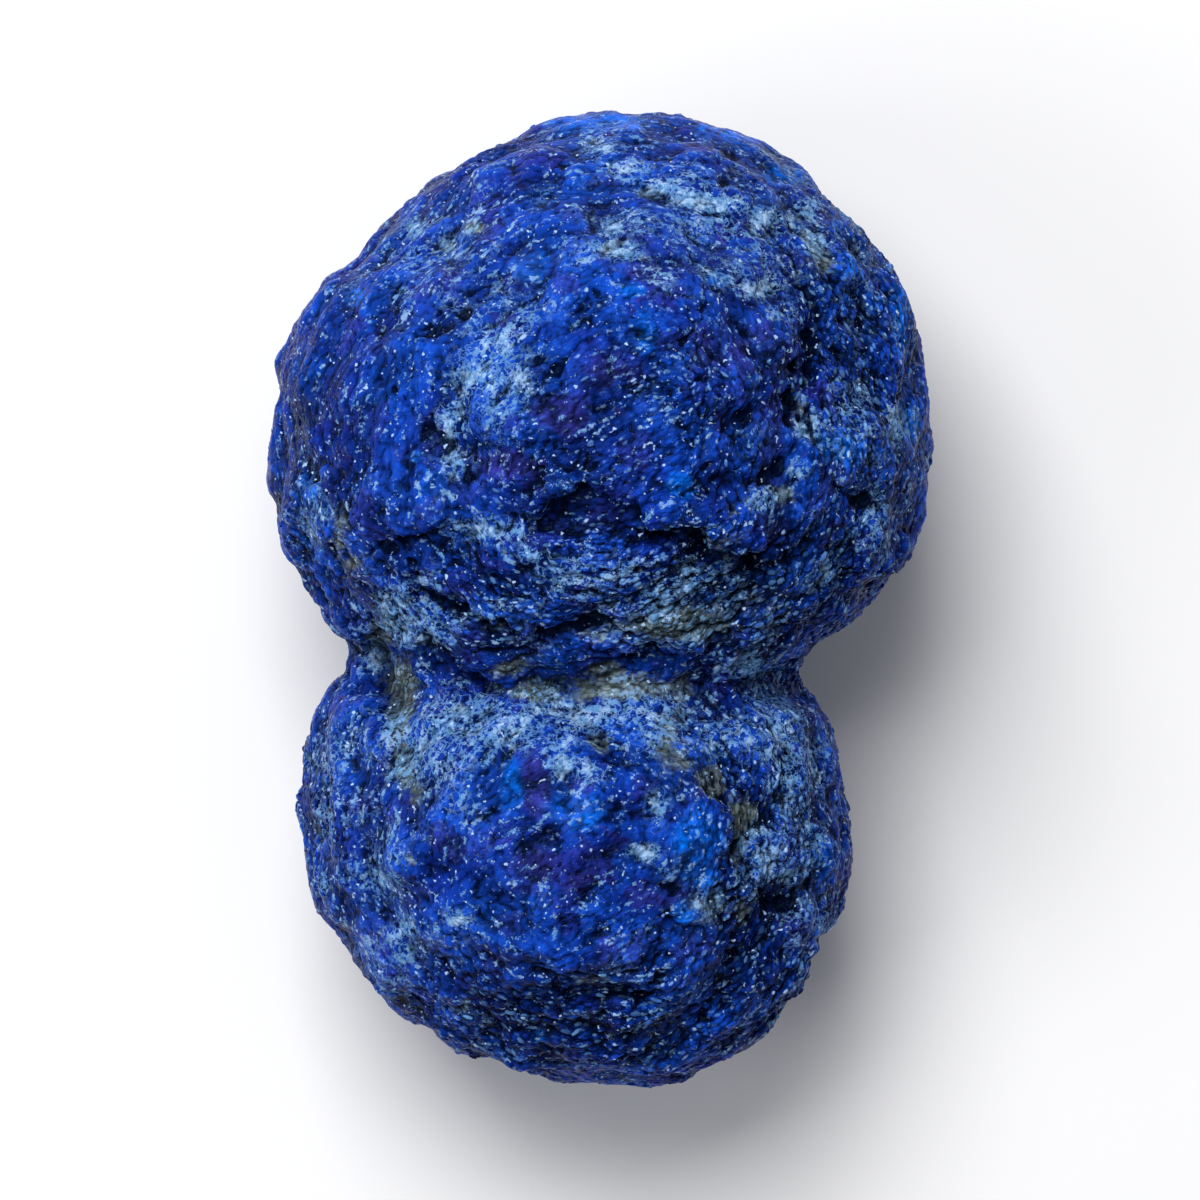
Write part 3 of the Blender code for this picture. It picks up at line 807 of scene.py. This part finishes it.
def scatter_tree(grain, seed, settings):
    """Nodes that cover a piece of skin with grains and keep only the grains."""
    tree = bpy.data.node_groups.new("scatter", "GeometryNodeTree")
    tree.interface.new_socket("Geometry", in_out="INPUT", socket_type="NodeSocketGeometry")
    tree.interface.new_socket("Geometry", in_out="OUTPUT", socket_type="NodeSocketGeometry")
    link = tree.links.new
    start = tree.nodes.new("NodeGroupInput")
    end = tree.nodes.new("NodeGroupOutput")
    points = tree.nodes.new("GeometryNodeDistributePointsOnFaces")
    points.distribute_method = "POISSON"
    points.inputs["Distance Min"].default_value = settings.spacing
    points.inputs["Density Max"].default_value = GRAINS_TRIED / settings.spacing ** 2
    points.inputs["Seed"].default_value = seed
    link(start.outputs["Geometry"], points.inputs["Mesh"])
    link(named_field(tree, "cover", "FLOAT"), points.inputs["Density Factor"])
    tone = tree.nodes.new("GeometryNodeStoreNamedAttribute")
    tone.data_type = "FLOAT"
    tone.domain = "POINT"
    tone.inputs["Name"].default_value = "grain_tone"
    link(points.outputs["Points"], tone.inputs["Geometry"])
    link(random_field(tree, "FLOAT", 0.0, 1.0, TONE_SEED), tone.inputs["Value"])
    upright = tree.nodes.new("FunctionNodeAlignRotationToVector")
    upright.axis = "Z"
    link(points.outputs["Normal"], upright.inputs["Vector"])
    along = tree.nodes.new("FunctionNodeAlignRotationToVector")
    along.axis = "X"
    along.pivot_axis = "Z"
    link(upright.outputs["Rotation"], along.inputs["Rotation"])
    link(named_field(tree, "flow", "FLOAT_VECTOR"), along.inputs["Vector"])
    lean = (settings.tilt, settings.tilt, settings.turn)
    leaning = tree.nodes.new("FunctionNodeEulerToRotation")
    angles = random_field(tree, "FLOAT_VECTOR", [-most for most in lean], lean, LEAN_SEED)
    link(angles, leaning.inputs["Euler"])
    turned = tree.nodes.new("FunctionNodeRotateRotation")
    turned.rotation_space = "LOCAL"
    link(along.outputs["Rotation"], turned.inputs["Rotation"])
    link(leaning.outputs["Rotation"], turned.inputs["Rotate By"])
    sizes = random_field(tree, "FLOAT_VECTOR", LEAST_GRAIN, MOST_GRAIN, SIZE_SEED)
    own_size = named_field(tree, "grain_scale", "FLOAT")
    scale = math_node(tree, "MULTIPLY", sizes, own_size, "ShaderNodeVectorMath")
    shape = tree.nodes.new("GeometryNodeObjectInfo")
    shape.inputs["Object"].default_value = grain
    placed = tree.nodes.new("GeometryNodeInstanceOnPoints")
    link(tone.outputs["Geometry"], placed.inputs["Points"])
    link(shape.outputs["Geometry"], placed.inputs["Instance"])
    link(turned.outputs["Rotation"], placed.inputs["Rotation"])
    link(scale, placed.inputs["Scale"])
    real = tree.nodes.new("GeometryNodeRealizeInstances")
    link(placed.outputs["Instances"], real.inputs["Geometry"])
    link(real.outputs["Geometry"], end.inputs["Geometry"])
    return tree


def grow_druse(name, seed, skin, grain, settings):
    """One piece of druse, made from a copy of a piece of skin."""
    druse = bpy.data.objects.new(name, skin.data.copy())
    bpy.context.scene.collection.objects.link(druse)
    scatter = druse.modifiers.new("scattered_grains", "NODES")
    scatter.node_group = scatter_tree(grain, seed, settings)
    apply_modifiers(druse)
    return druse


class ShaderBuilder:
    """Adds nodes to a material with few words. Sizes of patterns are in millimetres."""

    def __init__(self, material):
        self.tree = material.node_tree
        self.link = self.tree.links.new
        coordinates = self.tree.nodes.new("ShaderNodeTexCoord")
        in_mm = self.tree.nodes.new("ShaderNodeMapping")
        in_mm.inputs["Scale"].default_value = (1 / MM,) * 3
        self.link(coordinates.outputs["Object"], in_mm.inputs["Vector"])
        self.places = in_mm.outputs["Vector"]

    def value(self, name):
        node = self.tree.nodes.new("ShaderNodeAttribute")
        node.attribute_name = name
        return node.outputs["Fac"]

    def noise(self, size, detail=2.0, roughness=0.5, output="Fac"):
        node = self.tree.nodes.new("ShaderNodeTexNoise")
        node.inputs["Scale"].default_value = 1 / size
        node.inputs["Detail"].default_value = detail
        node.inputs["Roughness"].default_value = roughness
        self.link(self.places, node.inputs["Vector"])
        return node.outputs[output]

    def cells(self, size, feature="F1", vector=None):
        """Outputs of a pattern of cells: distance from the nearest cell's middle, and the cell's colour."""
        node = self.tree.nodes.new("ShaderNodeTexVoronoi")
        node.feature = feature
        node.inputs["Scale"].default_value = 1 / size
        self.link(vector or self.places, node.inputs["Vector"])
        return node.outputs

    def vector_maths(self, operation, first, second):
        return math_node(self.tree, operation, first, second, "ShaderNodeVectorMath")

    def drawn_together(self, stretch):
        """Places squeezed along the flow, so that cells grow long that way. The flow turns in steps."""
        parts = self.tree.nodes.new("ShaderNodeSeparateXYZ")
        flow = self.tree.nodes.new("ShaderNodeAttribute")
        flow.attribute_name = "flow"
        self.link(flow.outputs["Vector"], parts.inputs["Vector"])
        angle = self.maths("ARCTAN2", parts.outputs["Y"], parts.outputs["X"])
        angle = self.maths("SNAP", self.maths("ADD", angle, FLOW_STEP / 2), FLOW_STEP)
        way = self.tree.nodes.new("ShaderNodeCombineXYZ")
        self.link(self.maths("COSINE", angle), way.inputs["X"])
        self.link(self.maths("SINE", angle), way.inputs["Y"])
        way = way.outputs["Vector"]
        places = self.warped(0.06, 0.30)
        along = self.tree.nodes.new("ShaderNodeVectorMath")
        along.operation = "DOT_PRODUCT"
        self.link(places, along.inputs[0])
        self.link(way, along.inputs[1])
        back = self.tree.nodes.new("ShaderNodeVectorMath")
        back.operation = "SCALE"
        self.link(way, back.inputs[0])
        self.link(self.maths("MULTIPLY", along.outputs["Value"], 1.0 / stretch - 1.0), back.inputs["Scale"])
        return self.vector_maths("ADD", places, back.outputs["Vector"])

    def warped(self, reach, size):
        """Places pushed about, so that a pattern's edges wander."""
        push = self.tree.nodes.new("ShaderNodeVectorMath")
        push.operation = "MULTIPLY_ADD"
        self.link(self.noise(size, 2.0, output="Color"), push.inputs[0])
        push.inputs[1].default_value = (reach * 2,) * 3
        self.link(self.places, push.inputs[2])
        return push.outputs["Vector"]

    def maths(self, operation, first, second=0.0):
        return math_node(self.tree, operation, first, second)

    def times(self, first, second):
        return self.maths("MULTIPLY", first, second)

    def plus(self, first, second):
        return self.maths("ADD", first, second)

    def sum_of(self, *parts):
        """The sum of values, each times its weight."""
        total = 0.0
        for value, weight in parts:
            total = self.plus(self.times(value, weight), total)
        return total

    def ranged(self, value, low, high, to_low=0.0, to_high=1.0):
        node = self.tree.nodes.new("ShaderNodeMapRange")
        node.interpolation_type = "SMOOTHSTEP"
        self.link(value, node.inputs["Value"])
        for name, number in (("From Min", low), ("From Max", high), ("To Min", to_low), ("To Max", to_high)):
            node.inputs[name].default_value = number
        return node.outputs["Result"]

    def mixed(self, share, first, second, blend="MIX"):
        node = self.tree.nodes.new("ShaderNodeMix")
        node.data_type = "RGBA"
        node.blend_type = blend
        for name, value in (("Factor", share), ("A", first), ("B", second)):
            socket = next(s for s in node.inputs if s.name == name and s.enabled)
            if isinstance(value, bpy.types.NodeSocket):
                self.link(value, socket)
            elif name == "Factor":
                socket.default_value = value
            else:
                socket.default_value = (*value, 1.0)
        return next(s for s in node.outputs if s.enabled)

    def patch(self, name, roughen, reach=0.22, size=0.9):
        """A patch's share with a ragged edge."""
        ragged = self.times(self.plus(self.noise(size, 4.0, 0.65), -0.5), roughen)
        return self.ranged(self.plus(self.value(name), ragged), 0.5 - reach, 0.5 + reach)


FLOW_STEP = math.radians(30)


class StonePatterns:
    """Patterns that several layers of the stone's colour share. Rice is a pattern of long grains."""

    def __init__(self, build, on_grains):
        self.rice = build.cells(0.16, vector=build.drawn_together(2.1))
        self.tone = build.value("grain_tone") if on_grains else self.rice["Color"]
        self.fine = build.noise(0.16, 2.0, 0.6)
        self.middle = build.noise(0.55, 3.0, 0.65)
        self.broad = build.noise(1.6, 2.0, 0.6)
        self.coarse = build.value("coarse")
        self.earth = build.value("earth")
        self.knob = build.value("knob")
        # The crest sets the painted light on fold tops and the painted shade in creases.
        self.crest = build.sum_of((build.value("crest"), 1.0), (self.tone, 0.22))
        self.powder = build.sum_of((build.value("dust"), 1.0), (build.plus(self.broad, -0.5), 1.1))


def broad_blues(build, colours):
    """Ultramarine and royal blue, with patches of violet and cobalt, and the darkest blue painted as shade on
    the shaded patches.
    """
    lighter = build.ranged(build.noise(3.4, 3.0, 0.6), 0.42, 0.62)
    colour = build.mixed(lighter, colours.ultramarine, colours.royal)
    colour = build.mixed(build.times(build.patch("violet", 0.9), 0.8), colour, colours.violet)
    colour = build.mixed(build.times(build.patch("cobalt", 0.8), 0.9), colour, colours.cobalt)
    island = build.cells(1.0, vector=build.warped(0.45, 0.7))["Color"]
    colour = build.mixed(build.ranged(island, 0.62, 0.85, 0.0, 0.45), colour, colours.violet)
    colour = build.mixed(build.ranged(island, 0.42, 0.15, 0.0, 0.6), colour, colours.royal)
    # Painted shade: the darkest blue over the shaded patches.
    return build.mixed(build.times(build.patch("painted_shade_patch", 0.6, 0.35), 0.6), colour, colours.navy_and_shade)


def add_clay(build, colours, at, colour):
    """Clay in the traced furrows, thin on the tops of the knobs."""
    clay = build.sum_of((at.earth, 1.0), (at.middle, 0.9), (at.fine, 0.8), (at.knob, -0.3))
    share = build.times(build.ranged(clay, 0.98, 1.40, 0.0, 0.80), build.ranged(at.earth, 0.03, 0.20))
    return build.mixed(share, colour, colours.earth)


def shade_relief(build, at, colour):
    """Painted shade in the creases and in the gaps between the grains, and painted light on the crests and
    knobs.
    """
    # Painted light on the crests and painted shade in the creases.
    colour = build.mixed(1.0, colour, build.ranged(at.crest, 0.25, 1.10, 0.20, 1.50), "MULTIPLY")
    # Painted shade in the gaps between the grains.
    gaps = build.ranged(at.rice["Distance"], 0.28, 0.72, 1.20, 0.25)
    grainy = build.ranged(build.maths("MAXIMUM", at.coarse, at.earth), 0.0, 0.8, 0.18, 0.95)
    colour = build.mixed(grainy, colour, gaps, "MULTIPLY")
    # Painted light on the knobs and painted shade between them.
    return build.mixed(1.0, colour, build.ranged(at.knob, 0.10, 0.90, 0.66, 1.22), "MULTIPLY")


def add_powder(build, colours, at, colour):
    """Powder of uneven tone: specks that are partly pale powder and partly painted highlights on the crests, a
    web of lines, and patches with chalk in their middles.
    """
    pale = build.mixed(build.ranged(at.middle, 0.47, 0.66, 0.0, 0.50), colours.dust, colours.chalk)
    # Specks: partly pale powder, partly painted highlights on the crests.
    speck_and_highlight = build.sum_of((build.value("streak"), 0.08), (at.fine, 0.9), (at.middle, 0.4),
                         (at.coarse, -0.04), (at.powder, 0.20), (at.crest, 0.16))
    colour = build.mixed(build.ranged(speck_and_highlight, 0.90, 1.03, 0.0, 0.80), colour, pale)
    edges = build.cells(0.50, "DISTANCE_TO_EDGE", build.warped(0.55, 0.40))["Distance"]
    lines = build.ranged(build.sum_of((edges, 1.0), (build.plus(at.fine, -0.5), 0.30)), 0.11, 0.01)
    lines = build.times(lines, build.ranged(at.powder, 0.05, 0.60, 0.0, 0.75))
    colour = build.mixed(lines, colour, pale)
    solid = build.sum_of((at.powder, 0.8), (at.middle, 0.9), (at.fine, 0.7), (at.knob, -0.30))
    grains = build.ranged(at.rice["Distance"], 0.66, 0.40, 0.30, 1.0)
    powdered = build.times(build.ranged(solid, 1.13, 1.29, 0.0, 0.85), grains)
    colour = build.mixed(powdered, colour, pale)
    chalky = build.times(build.ranged(build.plus(solid, speck_and_highlight), 2.24, 2.50, 0.0, 0.75), grains)
    return build.mixed(chalky, colour, colours.chalk)


def add_pale_rice_and_highlights(build, colours, at, colour):
    """Pale grains in rows, pale in their middles: partly pale powder, partly painted highlights on the grains'
    tops. The palest of them are chalky.
    """
    kind = at.rice["Color"]
    share = build.times(build.ranged(kind, 0.62, 0.80), build.ranged(at.rice["Distance"], 0.48, 0.26))
    rows = build.sum_of((at.coarse, 0.32), (at.powder, 0.34), (at.middle, 1.0))
    share = build.times(share, build.ranged(rows, 0.48, 0.86, 0.0, 0.95))
    colour = build.mixed(share, colour, colours.dust)
    return build.mixed(build.times(share, build.ranged(kind, 0.80, 0.90)), colour, colours.chalk)


def tone_grains(build, colours, at, colour):
    """Gives each grain of the druse its own tone, from the darkest blue to dusty."""
    dusty = build.times(build.ranged(at.tone, 0.50, 1.0), build.ranged(at.broad, 0.35, 0.62, 0.25, 1.0))
    colour = build.mixed(build.times(dusty, 0.85), colour, colours.dust)
    return build.mixed(build.ranged(at.tone, 0.5, 0.0, 0.0, 0.6), colour, colours.navy_and_shade)


def stone_colour(build, colours, at, on_grains):
    """The stone's colour, from its broad blues to its powder and clay, with painted shade in its hollows,
    cracks and pits.
    """
    colour = broad_blues(build, colours)
    colour = add_clay(build, colours, at, colour)
    colour = shade_relief(build, at, colour)
    colour = add_powder(build, colours, at, colour)
    colour = add_pale_rice_and_highlights(build, colours, at, colour)
    if on_grains:
        colour = tone_grains(build, colours, at, colour)
    # Painted shade: the darkest blue in hollows, along cracks and in pits.
    sunk = build.ranged(build.value("hollow"), 0.50, 0.88, 0.0, 0.95)
    return build.mixed(build.maths("MAXIMUM", sunk, build.value("painted_shade")), colour, colours.navy_and_shade)


def painted_glint_share(build):
    """Painted glints: small bright spots of many sizes and shapes, painted where crystal faces would mirror
    the light.
    """
    crowd = build.ranged(build.noise(1.2, 2.0), 0.35, 0.60, -0.03, 0.02)
    spots = build.plus(build.noise(0.19, 0.6, 0.5), crowd)
    return build.ranged(spots, 0.72, 0.79, 0.0, 0.9)


STONE_GLOSS = 0.05
STONE_GLOSS_TINT = (0.25, 0.60, 1.0, 1.0)
BUMP_STRENGTH = 0.9
BUMP_HEIGHT = 0.07 * MM


def azurite_material(name, colours, on_grains):
    """Blue azurite with powder and clay, painted shade, and painted glints and highlights. Each grain has its
    own tone; the skin's comes from cells.
    """
    material = bpy.data.materials.new(name)
    material.use_nodes = True
    build = ShaderBuilder(material)
    shader = material.node_tree.nodes["Principled BSDF"]
    at = StonePatterns(build, on_grains)
    colour = stone_colour(build, colours, at, on_grains)
    # Painted glints mixed into the base colour.
    colour = build.mixed(painted_glint_share(build), colour, colours.painted_glint)
    build.link(colour, shader.inputs["Base Color"])
    rough = build.ranged(build.noise(0.5, 3.0), 0.3, 0.7, 0.16, 0.34)
    rough = build.sum_of((rough, 1.0), (build.value("dust"), 0.25))
    build.link(rough, shader.inputs["Roughness"])
    shader.inputs["Specular IOR Level"].default_value = STONE_GLOSS
    shader.inputs["Specular Tint"].default_value = STONE_GLOSS_TINT
    height = build.sum_of((build.noise(0.15, 2.0, 0.6), 0.7), (at.rice["Distance"], -0.9))
    bump = material.node_tree.nodes.new("ShaderNodeBump")
    bump.inputs["Strength"].default_value = BUMP_STRENGTH
    bump.inputs["Distance"].default_value = BUMP_HEIGHT
    build.link(height, bump.inputs["Height"])
    build.link(bump.outputs["Normal"], shader.inputs["Normal"])
    return material


class AZURITE_OT_grow_skin(bpy.types.Operator):
    """Grow the stone's wrinkled and pitted skin over its solid"""

    bl_idname = "azurite.grow_skin"
    bl_label = "Grow Skin"

    def execute(self, context):
        scene = context.scene
        skin = even_skin(scene.azurite_skin)
        raise_skin_relief(skin, scene.azurite_skin)
        material = azurite_material("azurite_skin", scene.azurite_colours, False)
        for name, sides in SECTORS.items():
            piece = cut_sector(name, skin, sides)
            piece.data.materials.append(material)
            join_to_stone(piece)
        bpy.data.objects.remove(skin)
        return {"FINISHED"}


class AZURITE_OT_grow_druse(bpy.types.Operator):
    """Cover the skin with fine grains, in pieces"""

    bl_idname = "azurite.grow_druse"
    bl_label = "Grow Druse"

    def execute(self, context):
        scene = context.scene
        settings = scene.azurite_druse
        grain = add_grain(settings)
        material = azurite_material("azurite_druse", scene.azurite_colours, True)
        for number, name in enumerate(SECTORS):
            skin = bpy.data.objects.get(name)
            if skin is None:
                raise RuntimeError("the druse grows on the skin, so Grow Skin comes first")
            druse = grow_druse(f"{name}_druse", settings.seed + number, skin, grain, settings)
            druse.data.materials.clear()
            druse.data.materials.append(material)
            join_to_stone(druse)
        bpy.data.objects.remove(grain)
        return {"FINISHED"}


KEY_LAMP_PLACE = (-0.10, 0.24, 0.50)
KEY_LAMP_SIZE = 0.30
FILL_LAMP_PLACE = (-0.36, -0.10, 0.34)
FILL_LAMP_SIZE = 0.25
FLOOR_ROUGHNESS = 0.9
FLOOR_GLOSS = 0.1


def add_floor(settings):
    bpy.ops.object.select_all(action="DESELECT")
    bpy.ops.mesh.primitive_plane_add(size=settings.floor_size)
    floor = bpy.context.object
    floor.name = "floor"
    material = bpy.data.materials.new("pale_floor")
    material.use_nodes = True
    shader = material.node_tree.nodes["Principled BSDF"]
    shader.inputs["Base Color"].default_value = (*settings.floor_colour, 1.0)
    shader.inputs["Roughness"].default_value = FLOOR_ROUGHNESS
    shader.inputs["Specular IOR Level"].default_value = FLOOR_GLOSS
    floor.data.materials.append(material)
    floor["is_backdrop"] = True


def add_lights(settings, target):
    world = bpy.data.worlds.new("even_sky")
    bpy.context.scene.world = world
    world.use_nodes = True
    world.node_tree.nodes["Background"].inputs["Color"].default_value = (1.0, 1.0, 1.0, 1.0)
    world.node_tree.nodes["Background"].inputs["Strength"].default_value = settings.sky_strength
    lamps = (("key_lamp", KEY_LAMP_PLACE, KEY_LAMP_SIZE, settings.key_power),
             ("fill_lamp", FILL_LAMP_PLACE, FILL_LAMP_SIZE, settings.fill_power))
    for name, place, size, power in lamps:
        bpy.ops.object.light_add(type="AREA", location=place)
        lamp = bpy.context.object
        lamp.name = name
        lamp.data.energy = power
        lamp.data.size = size
        lamp.rotation_euler = (target - lamp.location).to_track_quat("-Z", "Y").to_euler()


def add_camera(settings, low, high):
    """A camera straight above the stone, with the large ball at the top of the picture."""
    centre = (low + high) / 2
    data = bpy.data.cameras.new("camera")
    data.lens = settings.lens
    camera = bpy.data.objects.new("camera", data)
    bpy.context.scene.collection.objects.link(camera)
    frame_width = (high.y - low.y) / settings.fill
    distance = frame_width * data.lens / data.sensor_width
    camera.location = (centre.x, centre.y, centre.z + distance)
    data.clip_start = 0.01
    bpy.context.scene.camera = camera


class AZURITE_OT_set_stage(bpy.types.Operator):
    """Set a plain pale floor, soft light and a camera that looks down on the stone"""

    bl_idname = "azurite.set_stage"
    bl_label = "Set Stage"

    def execute(self, context):
        settings = context.scene.azurite_stage
        low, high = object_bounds()
        add_floor(settings)
        add_lights(settings, (low + high) / 2)
        add_camera(settings, low, high)
        context.scene.view_settings.view_transform = "Standard"
        return {"FINISHED"}


class AZURITE_PT_panel(bpy.types.Panel):
    """Lists the steps that make the stone"""

    bl_idname = "AZURITE_PT_panel"
    bl_label = "Azurite Concretion"
    bl_space_type = "VIEW_3D"
    bl_region_type = "UI"
    bl_category = "Azurite"

    def draw(self, context):
        for operator, groups in STEPS:
            box = self.layout.box()
            box.operator(operator.bl_idname)
            for group in groups:
                settings = getattr(context.scene, group)
                for name in settings.bl_rna.properties.keys():
                    if name not in ("rna_type", "name"):
                        box.prop(settings, name)


STEPS = (
    (AZURITE_OT_grow_skin, ("azurite_skin", "azurite_colours")),
    (AZURITE_OT_grow_druse, ("azurite_druse",)),
    (AZURITE_OT_set_stage, ("azurite_stage",)),
)
GROUPS = {
    "azurite_skin": SkinSettings,
    "azurite_druse": DruseSettings,
    "azurite_colours": ColourSettings,
    "azurite_stage": StageSettings,
}
CLASSES = (*GROUPS.values(), *(operator for operator, _ in STEPS), AZURITE_PT_panel)


def register():
    for cls in CLASSES:
        bpy.utils.register_class(cls)
    for name, group in GROUPS.items():
        setattr(bpy.types.Scene, name, bpy.props.PointerProperty(type=group))


def unregister():
    for name in GROUPS:
        delattr(bpy.types.Scene, name)
    for cls in reversed(CLASSES):
        bpy.utils.unregister_class(cls)


def main():
    register()
    bpy.ops.azurite.grow_skin()
    bpy.ops.azurite.grow_druse()
    bpy.ops.azurite.set_stage()


if __name__ == "__main__":
    main()
